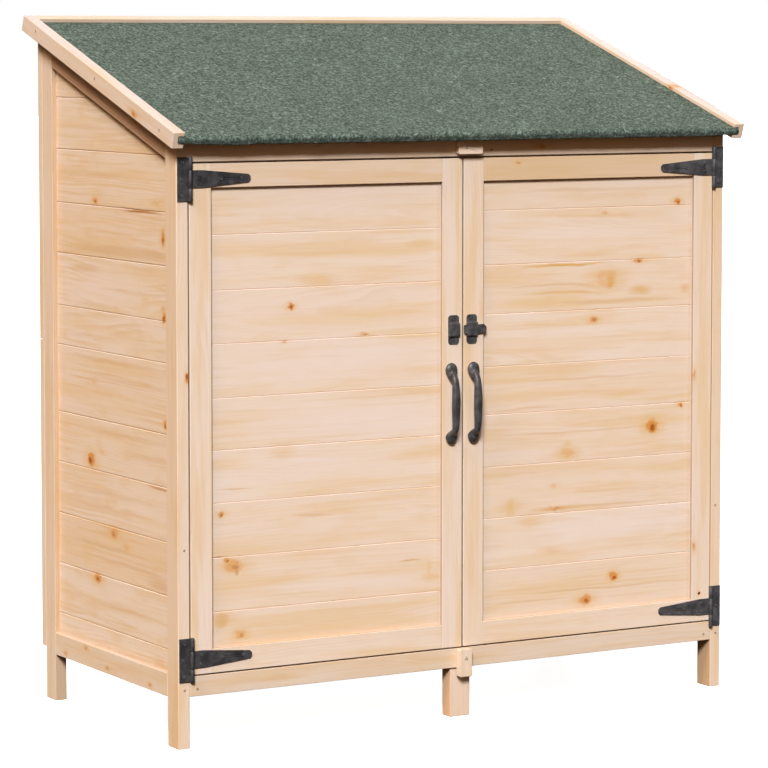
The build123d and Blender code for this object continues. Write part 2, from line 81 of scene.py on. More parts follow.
class Kit:
    def __init__(self, tree):
        self.t = tree

    def node(self, kind, **props):
        n = self.t.nodes.new(kind)
        for key, value in props.items():
            setattr(n, key, value)
        return n

    def put(self, value, socket):
        if isinstance(value, S):
            value = value.s
        if isinstance(value, bpy.types.NodeSocket):
            self.t.links.new(value, socket)
        elif value is not None:
            socket.default_value = value

    def m(self, op, a, b=None, c=None, clamp=False):
        n = self.node("ShaderNodeMath", operation=op, use_clamp=clamp)
        for value, socket in zip((a, b, c), n.inputs):
            self.put(value, socket)
        return S(self, n.outputs[0])

    def v(self, op, a, b=None):
        n = self.node("ShaderNodeVectorMath", operation=op)
        for value, socket in zip((a, b), n.inputs):
            self.put(value, socket)
        return S(self, n.outputs["Value" if op in ("LENGTH", "DOT_PRODUCT", "DISTANCE") else "Vector"])

    def vec(self, x, y, z):
        n = self.node("ShaderNodeCombineXYZ")
        for value, socket in zip((x, y, z), n.inputs):
            self.put(value, socket)
        return S(self, n.outputs[0])

    def xyz(self, v):
        n = self.node("ShaderNodeSeparateXYZ")
        self.put(v, n.inputs[0])
        return [S(self, o) for o in n.outputs]

    def coords_mm(self):
        n = self.node("ShaderNodeVectorMath", operation="SCALE")
        self.put(self.node("ShaderNodeTexCoord").outputs["Object"], n.inputs[0])
        n.inputs["Scale"].default_value = 1000.0
        return S(self, n.outputs[0])

    def normal(self):
        """The flat normal in the piece's own frame, so that it turns with the piece."""
        n = self.node("ShaderNodeVectorTransform", vector_type="NORMAL", convert_from="WORLD", convert_to="OBJECT")
        self.put(self.node("ShaderNodeNewGeometry").outputs["True Normal"], n.inputs[0])
        return self.xyz(n.outputs[0])

    def noise(self, vec, scale=1.0, detail=2.0, rough=0.5, distort=0.0):
        n = self.node("ShaderNodeTexNoise", noise_dimensions="3D")
        self.put(vec, n.inputs["Vector"])
        n.inputs["Scale"].default_value = scale
        n.inputs["Detail"].default_value = detail
        n.inputs["Roughness"].default_value = rough
        n.inputs["Distortion"].default_value = distort
        return S(self, n.outputs[0])

    def white(self, w):
        n = self.node("ShaderNodeTexWhiteNoise", noise_dimensions="1D")
        self.put(w, n.inputs["W"])
        return self.xyz(n.outputs["Color"])

    def step(self, x, lo, hi, out_lo=0.0, out_hi=1.0):
        n = self.node("ShaderNodeMapRange", interpolation_type="SMOOTHSTEP")
        for value, socket in zip((x, lo, hi, out_lo, out_hi), n.inputs):
            self.put(value, socket)
        return S(self, n.outputs[0])

    def mix(self, fac, a, b, blend="MIX"):
        n = self.node("ShaderNodeMix", data_type="RGBA", blend_type=blend)
        self.put(fac, n.inputs[0])
        self.put(a, n.inputs[6])
        self.put(b, n.inputs[7])
        return S(self, n.outputs[2])

    def ramp(self, fac, stops, interp="LINEAR"):
        n = self.node("ShaderNodeValToRGB")
        n.color_ramp.interpolation = interp
        while len(n.color_ramp.elements) < len(stops):
            n.color_ramp.elements.new(0.5)
        for e, (pos, col) in zip(n.color_ramp.elements, stops):
            e.position, e.color = pos, col
        self.put(fac, n.inputs[0])
        return S(self, n.outputs[0])


def shader(name):
    mat = bpy.data.materials.new(name)
    mat.use_nodes = True
    mat.node_tree.nodes.clear()
    k = Kit(mat.node_tree)
    out = k.node("ShaderNodeOutputMaterial")
    bsdf = k.node("ShaderNodeBsdfPrincipled")
    mat.node_tree.links.new(bsdf.outputs[0], out.inputs[0])
    return mat, k, bsdf


def bump(k, bsdf, height, strength, distance_mm):
    n = k.node("ShaderNodeBump")
    n.inputs["Strength"].default_value = strength
    n.inputs["Distance"].default_value = distance_mm / 1000.0
    k.put(height, n.inputs["Height"])
    k.put(n.outputs[0], bsdf.inputs["Normal"])


# ------------------------------------------------------------------ softwood
EARLY = srgb(240, 217, 197)
LATE = srgb(226, 188, 142)
YELLOW = srgb(236, 204, 168)
PINK = srgb(241, 219, 205)
WARM = srgb(230, 188, 137)
KNOT_HALO = srgb(228, 180, 112)
KNOT_RING = srgb(220, 142, 60)
KNOT_CORE = srgb(164, 86, 26)
KNOT_DEEP = srgb(84, 44, 22)
WOOD = 0.80                          # share of those colours that bare wood sends back
STREAK = srgb(212, 163, 106)
BROWN = srgb(186, 122, 66)
HONEY = srgb(230, 190, 128)
AMBER = srgb(222, 172, 98)
# Painted shade for the faces that turn away from a piece's show face.
PAINTED_SHADE = (0.55, 0.55, 0.56, 1.0)
# Painted highlight for upper faces: paler and bluer.
TOP_HIGHLIGHT_TINT = (0.90, 0.93, 1.09, 1.0)


def pine(name, grain, face, middle=0.0, joints=None, warm=None, knots=(), seed=0.0, tone=0.0, contrast=1.0, marks=(), unshaded_axis=None, painted_shade_by=None, dim=1.0, top_highlight=False, edge_light_and_shade=None, seam=0.0, inner_seam=0.0, left_face_light=None, corner_shade=None):
    """Planed softwood.  The growth rings are solid: cylinders round a pith that
    lies somewhere below each board, wandering along it.  Knots push the rings
    apart.  grain is the axis along the board, face the depth of its show face,
    middle the centre of a single board, joints the edges of a stack of them.
    A knot is (along, across, half length, half width, core, halo); a mark is a
    stain, or a painted shadow where one is laid (along, across, half length,
    half width, amount, colour).  unshaded_axis is the axis that the planed faces
    look along; the other faces are a little darker, a painted shade.
    dim scales the piece's brightness; top_highlight makes its upper face paler,
    a painted highlight; edge_light_and_shade is painted light and shade on the
    eased upper and lower edges (upper gain, lower gain); seam darkens a thin line
    over each joint and inner_seam does so only on the faces that look to +Y;
    left_face_light tints the faces that look to -X, painted light and shade; and
    corner_shade is where a panel runs into its frame (axis, place, direction), a
    little duller there: painted shade."""
    mat, k, bsdf = shader(name)
    x, y, z = k.xyz(k.coords_mm())
    if grain == "X":
        a, b, c = x, z, y
    elif grain == "Y":
        a, b, c = y, z, x
    elif grain == "Z":
        a, b, c = z, x, y
    elif grain == "F":
        a, b, c = x, y, z
    else:
        a, b, c = y * CS + z * SN, z * CS - y * SN, x

    board = None
    own = tone
    if joints:
        mids = [(p + q) / 2 for p, q in zip(joints, joints[1:])]
        warm = warm or [0.0] * len(mids)
        board, mid, own = seed, mids[0], warm[0]
        for i, j in enumerate(joints[1:-1]):
            g = k.m("GREATER_THAN", b, j)
            board = g + board
            mid = k.m("MULTIPLY_ADD", g, mids[i + 1] - mids[i], mid)
            if warm[i + 1] != warm[i]:
                own = k.m("MULTIPLY_ADD", g, warm[i + 1] - warm[i], own)
    else:
        board, mid = k.m("ADD", seed, 0.0), middle
    r1, r2, r3 = k.white(board)
    r4, r5, r6 = k.white(board + 31.7)
    shift = board * 17.31

    # knots: each pushes the grain sideways, and adds to a halo, a ring and a core
    across = b
    halo = ring = core = deep = None
    if knots:
        wob = k.noise(k.vec(a * 0.11, b * 0.16, shift), detail=3.0)
        wob2 = k.noise(k.vec(a * 0.10, b * 0.14, shift + 9.0), detail=3.0)
        ab = k.vec(a + (wob - 0.5) * 13.0, b + (wob2 - 0.5) * 9.0, 0.0)
        most = lambda p, q: q if p is None else k.m("MAXIMUM", p, q)
        for ka, kb, la, lb, cs, hs in knots:
            p = k.v("SUBTRACT", ab, (ka, kb, 0.0))
            d = k.v("LENGTH", k.v("MULTIPLY", p, (1.0 / la, 1.0 / lb, 0.0)))
            d2 = k.v("LENGTH", k.v("MULTIPLY", p, (1.0 / (3.6 * la), 1.0 / (2.3 * lb), 0.0)))
            push = k.step(d2, 0.0, 1.0, 0.92, 0.0)
            across = across - push * k.xyz(p)[1]
            halo = most(halo, k.step(d2, 0.05, 0.95, hs, 0.0))
            ring = most(ring, k.step(d, 0.66, 1.18, cs * 0.92, 0.0))
            if cs < 0.20 and la > 18:
                ring = most(ring, k.step(k.m("ABSOLUTE", d - 0.72), 0.05, 0.50, 0.22, 0.0))
            if cs > 1.05:
                deep = most(deep, k.step(d, 0.55, 1.0, 1.0, 0.0))
            if cs > 0.25:
                off = k.v("SUBTRACT", p, (0.16 * la, -0.20 * lb, 0.0))
                dark = k.v("LENGTH", k.v("MULTIPLY", off, (1.0 / la, 1.0 / lb, 0.0)))
                core = most(core, k.step(dark, 0.20, 0.56, cs, 0.0))

    # growth rings
    w1 = k.noise(k.vec(a * 0.0024, shift, 0.0), detail=2.0)
    w2 = k.noise(k.vec(a * 0.0028, shift, 40.0), detail=2.0)
    u = across - mid - (r1 - 0.5) * 130.0 + (w1 - 0.5) * 34.0
    v = (c - face) + r2 * r2 * 90.0 + 8.0 + (r3 - 0.5) * 0.09 * a + (w2 - 0.5) * 26.0
    fine = k.noise(k.vec(a * 0.010, b * 0.08, c * 0.08 + shift), detail=3.0)
    r = k.m("SQRT", u * u + v * v) + (fine - 0.5) * 3.4
    uneven = k.noise(k.vec(r * 0.06, shift, 80.0), detail=1.0)
    f = k.m("FRACT", r / (r4 * 3.4 + 3.4) + uneven * 4.0)
    late = k.step(f, 0.10, 0.86) * k.step(f, 0.86, 1.0, 1.0, 0.0)
    fade = k.noise(k.vec(a * 0.004, b * 0.026, shift + 21.0), detail=2.0)
    late = late * k.step(fade, 0.34, 0.70, 0.10, 1.0)

    fibre = k.noise(k.vec(a * 0.022, b * 0.95, c * 0.95), detail=3.0, rough=0.6)
    broad = k.noise(k.vec(a * 0.0030, b * 0.034, c * 0.034 + shift), detail=3.0, rough=0.55)
    streak = k.noise(k.vec(a * 0.0050, b * 0.13, c * 0.13 + shift), detail=4.0, rough=0.6)
    blot = k.noise(k.vec(a * 0.016, b * 0.040, shift + 70.0), detail=2.0)

    col = k.mix(k.step(broad, 0.47, 0.66, 0.0, 0.85), EARLY, YELLOW)
    col = k.mix(k.step(broad, 0.32, 0.50, 0.75, 0.0), col, PINK)
    col = k.mix(late * (0.34 * contrast), col, LATE)
    col = k.mix(k.step(streak, 0.50, 0.72, 0.0, 0.42 * contrast), col, LATE)
    col = k.mix(k.step(blot, 0.52, 0.74, 0.0, 0.22 * contrast), col, WARM)
    if not isinstance(own, (int, float)) or own:
        col = k.mix(own, col, WARM)
    col = k.mix(k.step(r5, 0.0, 1.0, 0.0, 0.08), col, WARM)
    if marks:
        sway = k.noise(k.vec(a * 0.012, shift, 55.0), detail=2.0)
        at = k.vec(a, across + (sway - 0.5) * 9.0, 0.0)
        for ma, mb, la, lb, amount, stain in marks:
            p = k.v("MULTIPLY", k.v("SUBTRACT", at, (ma, mb, 0.0)), (1.0 / la, 1.0 / lb, 0.0))
            col = k.mix(k.step(k.v("LENGTH", p) + (streak - 0.5) * 1.3, 0.20, 1.05, amount, 0.0), col, stain)
    if knots:
        col = k.mix(halo * k.step(streak, 0.30, 0.62, 0.75, 1.15), col, KNOT_HALO)
        col = k.mix(ring, col, KNOT_RING)
        if core is not None:
            col = k.mix(core, col, KNOT_CORE)
        if deep is not None:
            col = k.mix(deep, col, KNOT_DEEP)
    shade = k.m("MULTIPLY_ADD", fibre, 0.13 * WOOD * dim, 0.935 * WOOD * dim)
    col = k.mix(1.0, col, k.vec(shade, shade, shade), "MULTIPLY")
    if (seam or inner_seam) and joints:
        line = None
        for j in joints[1:-1]:
            near = k.step(k.m("ABSOLUTE", b - (j + 0.9)), 0.5, 1.5, 1.0, 0.0)
            line = near if line is None else k.m("MAXIMUM", line, near)
        if inner_seam:
            line = line * k.step(k.normal()[1], 0.4, 0.6)
        seam = seam or inner_seam
        worn = k.noise(k.vec(a * 0.006, shift, 90.0), detail=2.0)
        col = k.mix(line * k.step(worn, 0.30, 0.62, seam * 0.45, seam), col, k.mix(1.0, col, (0.34, 0.24, 0.16, 1.0), "MULTIPLY"))
    # Painted shade: the panel is darker within about 10 mm of where it runs into its frame.
    if corner_shade is not None:
        of, where, run = corner_shade
        corner_gain = k.step((x if of == "X" else z) * run, where * run - 10.0, where * run - 1.0, 1.0, 0.87)
        col = k.mix(1.0, col, k.vec(corner_gain, corner_gain, corner_gain), "MULTIPLY")
    # Painted light and shade: faces that look to -X are tinted lighter, darker or warmer, for how the light falls on
    # that side.
    if left_face_light:
        facing = k.normal()[0]
        col = k.mix(k.step(facing, -0.9, -0.5, 1.0, 0.0), col, k.mix(1.0, col, left_face_light, "MULTIPLY"))
    # Painted light and shade on eased edges: faces that look up take the first gain and a little extra blue, a
    # painted highlight; faces that look down take the second gain, painted light where it is above 1 and painted
    # shade where it is below 1.
    if edge_light_and_shade:
        tilt = k.normal()[2]
        gain = k.step(tilt, 0.3, 0.6, 0.0, edge_light_and_shade[0] - 1.0) + k.step(tilt, -0.6, -0.3, edge_light_and_shade[1] - 1.0, 0.0) + 1.0
        col = k.mix(1.0, col, k.vec(gain, gain, k.step(tilt, 0.3, 0.6, 1.0, 1.07) * gain), "MULTIPLY")
    # Painted highlight: the upper faces are made paler and bluer, as if strongly lit from above.
    if top_highlight:
        rise = k.normal()[2]
        col = k.mix(k.step(rise, 0.5, 0.9), col, k.mix(1.0, col, TOP_HIGHLIGHT_TINT, "MULTIPLY"))
    # Painted shade: faces that don't look along the given axis are darkened, standing for the shade on inner edges,
    # ledges and in recesses.
    if unshaded_axis:
        normal = k.normal()["XYZ".index(unshaded_axis)]
        col = k.mix(k.step(k.m("ABSOLUTE", normal), 0.10, 0.30, 1.0, 0.0), col, k.mix(1.0, col, painted_shade_by or PAINTED_SHADE, "MULTIPLY"))
    k.put(col, bsdf.inputs["Base Color"])
    k.put(k.m("MULTIPLY_ADD", fibre, 0.22, 0.50), bsdf.inputs["Roughness"])
    bsdf.inputs["Specular IOR Level"].default_value = 0.32
    bump(k, bsdf, late * 0.4 + fibre, 0.18, 0.30)
    return mat


# ------------------------------------------------------------------ other finishes
def felt_finish():
    """Mineral felt: grey-green slate granules on a bitumen sheet."""
    mat, k, bsdf = shader("felt_granules")
    p = k.coords_mm()
    g = k.noise(p, scale=0.22, detail=3.0, rough=0.70)
    g2 = k.noise(k.v("ADD", p, (31.0, 7.0, 13.0)), scale=0.145, detail=2.0, rough=0.6, distort=1.2)
    wide = k.noise(p, scale=0.012, detail=3.0)
    col = k.ramp(g, [(0.32, srgb(46, 56, 48)), (0.45, srgb(76, 87, 77)), (0.55, srgb(93, 105, 94)), (0.68, srgb(130, 144, 132))])
    col = k.mix(k.step(g2, 0.56, 0.68, 0.0, 0.8), col, srgb(138, 152, 140))
    col = k.mix(k.step(g2, 0.33, 0.45, 0.7, 0.0), col, srgb(50, 60, 52))
    shade = k.m("MULTIPLY_ADD", wide, 0.34 * WOOD * 1.115, 0.76 * WOOD * 1.115)
    col = k.mix(1.0, col, k.vec(shade * 0.97, shade, shade), "MULTIPLY")
    k.put(col, bsdf.inputs["Base Color"])
    bsdf.inputs["Roughness"].default_value = 0.93
    bsdf.inputs["Specular IOR Level"].default_value = 0.22
    bump(k, bsdf, g + g2, 0.9, 1.1)
    return mat


def black_paint(name, level=1.0):
    """Black powder coat: a fine orange-peel skin, greyer in patches."""
    mat, k, bsdf = shader(name)
    p = k.coords_mm()
    peel = k.noise(p, scale=1.3, detail=2.0)
    cloud = k.noise(p, scale=0.09, detail=3.0)
    c0, c1 = srgb(43, 42, 44), srgb(65, 63, 64)
    col = k.mix(k.step(cloud, 0.35, 0.70), tuple(v * level for v in c0[:3]) + (1.0,), tuple(v * level for v in c1[:3]) + (1.0,))
    k.put(col, bsdf.inputs["Base Color"])
    k.put(k.m("MULTIPLY_ADD", cloud, 0.26, 0.32), bsdf.inputs["Roughness"])
    bsdf.inputs["Specular IOR Level"].default_value = 0.5
    bump(k, bsdf, peel, 0.25, 0.25)
    return mat


def dull_metal(name, dark, light, metallic):
    mat, k, bsdf = shader(name)
    p = k.coords_mm()
    n = k.noise(p, scale=0.8, detail=3.0)
    col = k.mix(k.step(n, 0.3, 0.7), dark, light)
    k.put(col, bsdf.inputs["Base Color"])
    k.put(k.m("MULTIPLY_ADD", n, 0.3, 0.30), bsdf.inputs["Roughness"])
    bsdf.inputs["Metallic"].default_value = metallic
    bump(k, bsdf, n, 0.2, 0.1)
    return mat


FELT = felt_finish()
BLACK = black_paint("black_powder_coat")
GRIP_BLACK = black_paint("black_grip", 1.2)
# A paler black, for the right door's hinges and the latch.
PALE_BLACK = black_paint("black_pale", 1.5)
BOLT_BLACK = black_paint("black_bolt", 1.6)
ZINC = dull_metal("zinc_plate", srgb(160, 150, 142), srgb(196, 186, 180), 0.35)
SCREW = dull_metal("screw_grey", srgb(140, 116, 94), srgb(170, 148, 126), 0.15)
BRAD = dull_metal("brad_steel", srgb(92, 74, 60), srgb(128, 104, 84), 0.3)


def dress(node, mat):
    o = nodes[node]
    o.data.materials.clear()
    o.data.materials.append(mat)


def ease(node, width_mm, segments=2):
    """Eased edges on a CAD piece, as modifiers."""
    o = nodes[node]
    w = o.modifiers.new("weld", "WELD")
    w.merge_threshold = 2e-5
    b = o.modifiers.new("ease", "BEVEL")
    b.width = width_mm / 1000.0
    b.segments = segments
    b.limit_method = "ANGLE"
    b.angle_limit = math.radians(38)
    b.harden_normals = True


# ------------------------------------------------------------------ wood on every piece
yf = lambda y: y + Y0

L_KNOTS = [(-315, 688, 5.5, 6.5, .9, .5), (-265, 728, 16, 9, .0, .5), (-180, 637, 9, 3, .5, .5), (-327, 632, 6, 2.5, .3, .4), (-330, 458, 12, 8, .0, .35),
           (-440, 365, 6, 5, .85, .5), (-418, 281, 17, 10, .35, .6), (-432, 292, 5, 4, .7, .5), (-440, 200, 14, 9, .1, .5), (-407, 172, 9, 7, .4, .6), (-55, 235, 8, 7, .0, .4)]
R_KNOTS = [(430, 836, 7, 5.5, .95, .65), (350, 738, 9, 4, .7, .6), (287, 710, 19, 15, .14, .6), (260, 643, 8, 6, .55, .6), (282, 820, 5, 3, .3, .4),
           (380, 457, 12, 12, .95, .75), (438, 490, 5, 4, .8, .5), (210, 422, 12, 9, .25, .65), (98, 338, 12, 11, .0, .45), (135, 312, 12, 9, .0, .4),
           (185, 330, 22, 3, .35, .6), (182, 368, 5, 4, .15, .4), (177, 258, 13, 6, .05, .4), (303, 207, 8, 8, .95, .6), (247, 172, 12, 9, .8, .7)]
SIDE_KNOTS = [(308, 847, 8, 6, .75, .6), (85, 852, 12, 6, .1, .55), (63, 797, 7, 12, .7, .6), (61, 673, 7, 9, .85, .6), (318, 550, 8, 6, .1, .4), (58, 505, 5, 8, .85, .5),
              (330, 422, 14, 12, .9, .7), (288, 437, 9, 4, .2, .4), (245, 310, 13, 10, .45, .5), (200, 292, 9, 6, .15, .5), (307, 228, 13, 9, .8, .65), (370, 1030, 17, 4, .15, .4)]
OTHER_KNOTS = [(-330, 980, 10, 8, .8, .6), (-60, 1050, 7, 6, .7, .5), (260, 900, 13, 10, .4, .6), (395, 1065, 8, 6, .9, .6), (120, 720, 12, 9, .2, .5), (-410, 760, 9, 7, .8, .6),
               (-180, 660, 7, 6, .6, .5), (330, 560, 11, 9, .9, .6), (60, 470, 9, 6, .3, .5), (-280, 430, 12, 10, .8, .6), (410, 320, 9, 7, .2, .5), (-90, 250, 8, 7, .85, .6),
               (200, 180, 12, 9, .5, .6), (-420, 140, 9, 6, .7, .5)]

L_MARKS = [(-250, 592, 300, 46, .55, PINK), (-250, 508, 300, 42, .55, PINK), (-280, 425, 260, 36, .35, PINK), (-250, 850, 300, 36, .30, PINK), (-220, 240, 200, 14, .5, PINK),
           (-75, 780, 38, 9, .5, HONEY), (-200, 668, 230, 20, .32, HONEY), (-120, 640, 90, 7, .35, HONEY), (-277, 353, 42, 4, .4, STREAK), (-120, 372, 90, 7, .30, HONEY),
           (-95, 266, 28, 1.8, .75, STREAK), (-415, 404, 38, 1.6, .5, STREAK), (-445, 297, 16, 1.8, .8, BROWN), (-424, 284, 16, 9, .7, AMBER), (-413, 277, 5, 9, .6, BROWN), (-440, 196, 17, 13, .6, AMBER), (-300, 170, 160, 9, .22, HONEY), (-60, 250, 7, 16, .4, HONEY), (-250, 770, 210, 6, .25, HONEY)]
R_MARKS = [(180, 785, 260, 40, .45, PINK), (260, 282, 260, 38, .45, PINK), (200, 612, 240, 36, .35, PINK), (205, 735, 112, 3.4, 1.0, AMBER), (375, 742, 45, 10, .45, HONEY), (355, 688, 34, 11, .65, AMBER), (446, 689, 14, 10, .5, AMBER), (294, 706, 9, 9, .8, AMBER), (200, 690, 110, 4, .6, AMBER), (190, 703, 120, 3, .45, STREAK), (150, 676, 120, 12, .42, HONEY), (310, 672, 150, 5, .35, STREAK),
           (320, 514, 66, 8, .5, HONEY), (120, 500, 90, 3, .35, STREAK), (210, 436, 12, 12, .5, HONEY), (98, 338, 10, 14, .45, HONEY), (300, 190, 190, 2.4, .5, STREAK), (130, 178, 100, 2.2, .4, STREAK),
           (285, 330, 160, 2.6, .42, STREAK), (250, 457, 200, 2.2, .35, STREAK), (250, 545, 190, 3, .3, STREAK), (240, 860, 190, 5, .28, STREAK), (300, 775, 180, 5, .2, HONEY)]
SIDE_MARKS = [(148, 836, 95, 4, .95, BROWN), (230, 768, 260, 14, .42, STREAK), (90, 772, 60, 8, .30, STREAK), (350, 733, 80, 8, .40, STREAK), (64, 800, 10, 18, .55, STREAK), (64, 684, 11, 10, .5, STREAK),
              (170, 705, 150, 5, .22, STREAK), (250, 588, 230, 6, .30, STREAK), (160, 560, 180, 6, .28, STREAK), (330, 625, 130, 6, .20, STREAK), (210, 472, 230, 6, .28, STREAK), (120, 445, 130, 7, .28, STREAK),
              (250, 372, 230, 6, .28, STREAK), (80, 402, 50, 3, .6, BROWN), (260, 347, 220, 5, .26, STREAK), (270, 283, 200, 6, .40, STREAK), (190, 262, 190, 5, .40, STREAK), (80, 247, 60, 13, .45, STREAK),
              (250, 190, 230, 6, .24, STREAK), (80, 125, 32, 12, .35, STREAK), (300, 890, 180, 7, .26, STREAK), (340, 965, 140, 6, .26, STREAK), (200, 945, 130, 5, .24, STREAK), (300, 858, 40, 14, .4, HONEY)]

# The door panels get a painted shade by the frame's edge and painted light and shade on their board edges.
dress("left_door_boards", pine("left_door_panel", "X", yf(6), joints=L_JOINTS, warm=[.10, .08, .06, .02, 0, 0, .08, .08, .10], knots=L_KNOTS, marks=L_MARKS, seed=3.0, contrast=0.72, edge_light_and_shade=(1.12, 1.3), inner_seam=.5, corner_shade=("X", -38.3, 1.0)))
dress("right_door_boards", pine("right_door_panel", "X", yf(6), joints=R_JOINTS, warm=[.18, .0, .14, .10, .14, .06, .16, .10, .12], knots=R_KNOTS, marks=R_MARKS, seed=47.0, contrast=0.85, edge_light_and_shade=(1.12, 1.2), inner_seam=.5, corner_shade=("X", 460.0, 1.0)))
side = [(yf(y), z, la, lb, cs, hs) for y, z, la, lb, cs, hs in SIDE_KNOTS]
side_marks = [(yf(y), z, la, lb, amount, stain) for y, z, la, lb, amount, stain in SIDE_MARKS]
# The left side's boards are warmer and a little brighter than the doors: partly their own tone, partly painted light
# for the warm light on that side. Their lower edge by the bottom rail gets a painted shade.
dress("left_side_boards", pine("left_side_panel", "Y", -511.0, joints=SIDE_JOINTS, warm=[.10, .14, .42, .22, .22, .26, .18, .16, .34, .28, .18, .24], knots=side, marks=side_marks, seed=21.0, contrast=1.7, dim=1.04, edge_light_and_shade=(1.16, 0.7), seam=.42, corner_shade=("Z", 117.0, -1.0)))
mirrored = [(yf(480 - y), z - 26, la, lb, cs, hs) for y, z, la, lb, cs, hs in SIDE_KNOTS[:9]]
dress("right_side_boards", pine("right_side_panel", "Y", 503.0, joints=SIDE_JOINTS, warm=[.1, .2, .05, .3, .1, .15, .3, .1, .1, .25, .1, .2], knots=mirrored, seed=83.0, contrast=1.2, edge_light_and_shade=(1.12, 0.8), seam=.40))
dress("back_lower_boards", pine("back_lower_panel", "X", yf(505), joints=BACK_LO, warm=[.2, .1, .3, .05, .2, .1], knots=OTHER_KNOTS[7:], seed=112.0, contrast=1.1, edge_light_and_shade=(1.12, 0.8), seam=.40))
dress("back_upper_boards", pine("back_upper_panel", "X", yf(505), joints=BACK_HI, warm=[.1, .25, .05, .2, .1, .3], knots=OTHER_KNOTS[:7], seed=131.0, contrast=1.1, edge_light_and_shade=(1.12, 0.8), seam=.40))
dress("floor_boards", pine("floor_panel", "F", 114.0, joints=FLOOR_JOINTS, warm=[.3, .2, .35, .25, .3], seed=160.0))

STILES = {
    "left_door_hinge_stile": (-478.3, [], .0), "left_door_meeting_stile": (-19.3, [], .02),
    "right_door_hinge_stile": (479.0, [(540, 463, 8, 4, .35, .5), (245, 465, 7, 4, .5, .5), (165, 476, 3.6, 3.0, 1.2, .3)], .0), "right_door_meeting_stile": (21.3, [(668, 36, 14, 3, .0, .4)], .06),
}
for i, (n, (mid, kn, warm)) in enumerate(STILES.items()):
    # The stiles' inner edges get a painted shade.
    dress(n, pine(n, "Z", yf(0), middle=mid, knots=kn, seed=201.0 + 7 * i, tone=warm, contrast=0.8, unshaded_axis="Y"))
POSTS = {
    "front_left_post": (-509.8, yf(0), [(584, -501, 8, 4.5, 1.0, .5)], .10), "front_right_post": (509.8, yf(0), [], .22),
    "rear_left_post": (-509.8, yf(492), [], .20), "rear_right_post": (509.8, yf(492), [], .10),
    "centre_front_leg": (-1.5, yf(3.8), [], .26),
}
for i, (n, (mid, face, kn, warm)) in enumerate(POSTS.items()):
    # The left faces of the front posts and the centre leg are tinted for light and shade: warmer on the left post,
    # lighter on the centre leg, darker for the shade on the right post.
    # The rear posts' front, back and upper faces get a warm painted shade.
    dress(n, pine(n, "Z", face, middle=mid, knots=kn, seed=251.0 + 7 * i, tone=warm, contrast=0.9, unshaded_axis="X" if n.startswith("rear") else None, painted_shade_by=(0.72, 0.66, 0.58, 1.0), left_face_light={"front_left_post": (1.0, 0.945, 0.855, 1.0), "front_right_post": (0.88, 0.75, 0.60, 1.0), "centre_front_leg": (1.14, 0.95, 0.79, 1.0)}.get(n), dim=.985 if n.startswith(("centre", "front_right")) else 1.0))
RAILS = {
    "front_header": (938, yf(0), [(150, 934, 12, 5, .3, .4)], .16), "front_bottom_rail": (98, yf(0), [(-330, 97, 17, 4, .0, .4)], .10), "rear_bottom_rail": (98, yf(492), [], .2),
    "rear_header": (1100, yf(472), [], .2), "door_stop_strip": (924, yf(20), [], .2),
    "left_door_top_rail": (897.3, yf(0), [], .26), "right_door_top_rail": (897.3, yf(0), [(107, 907, 5, 3, .5, .5)], .60),
    "left_door_bottom_rail": (135.5, yf(0), [], .06), "right_door_bottom_rail": (135.5, yf(0), [], .08),
}
for i, (n, (mid, face, kn, warm)) in enumerate(RAILS.items()):
    # The door rails' inner edges get a warm painted shade, for the shadow lines above and below the panels.
    dress(n, pine(n, "X", face, middle=mid, knots=kn, seed=301.0 + 7 * i, tone=warm, contrast=0.9, unshaded_axis="Y" if "_door_" in n else None, painted_shade_by=(0.62, 0.50, 0.38, 1.0), dim={"left_door_top_rail": .97, "right_door_top_rail": .95, "front_bottom_rail": .92}.get(n, 1.0)))
for i, (n, sgn) in enumerate((("left_side_bottom_rail", -1), ("right_side_bottom_rail", 1))):
    kn = [(yf(y), z, 6, 4, .45, .5) for y, z in ((415, 88), (336, 109), (255, 88), (99, 87))] if sgn < 0 else []
    # The side bottom rails' upper ledge gets a painted shade.
    dress(n, pine(n, "Y", sgn * 520.0, middle=97.0, knots=kn, seed=371.0 + 7 * i, tone=.16, unshaded_axis="X", painted_shade_by=(0.86, 0.89, 0.95, 1.0)))
dress("floor_bearers", pine("floor_bearers", "Y", 0.0, middle=90.0, seed=391.0, tone=.3))
dress("back_lower_stiles", pine("back_lower_stiles", "Z", yf(509), middle=-500.0, seed=401.0, tone=.12))
dress("back_upper_stiles", pine("back_upper_stiles", "Z", yf(509), middle=-500.0, seed=411.0, tone=.16))
slope_b = (ROOF_Z0 - 13) * CS - yf(ROOF_Y0) * SN
for i, (n, sgn) in enumerate((("left_bargeboard", -1), ("right_bargeboard", 1))):
    kn = [(yf(105.7) * CS + 991.6 * SN, 991.6 * CS - yf(105.7) * SN, 11, 6, .55, .6)] if sgn < 0 else [(yf(155) * CS + 1027.6 * SN, 1027.6 * CS - yf(155) * SN - 2, 9, 6, .7, .5)]
    # The bargeboards' tops carry a painted highlight.
    dress(n, pine(n, "S", sgn * 540.0, middle=slope_b, knots=kn, seed=421.0 + 7 * i, tone=.15, top_highlight=True))
for i, (n, sgn) in enumerate((("left_side_top_rail", -1), ("right_side_top_rail", 1))):
    # The mark is a painted shadow: the bargeboard's shadow laid as a darker band along the rail.
    dress(n, pine(n, "S", sgn * 520.0, middle=slope_b - 30, seed=441.0 + 7 * i, tone=.12, marks=[(317.0, 945.0, 900.0, 24.0, .95, srgb(192, 148, 115))]))
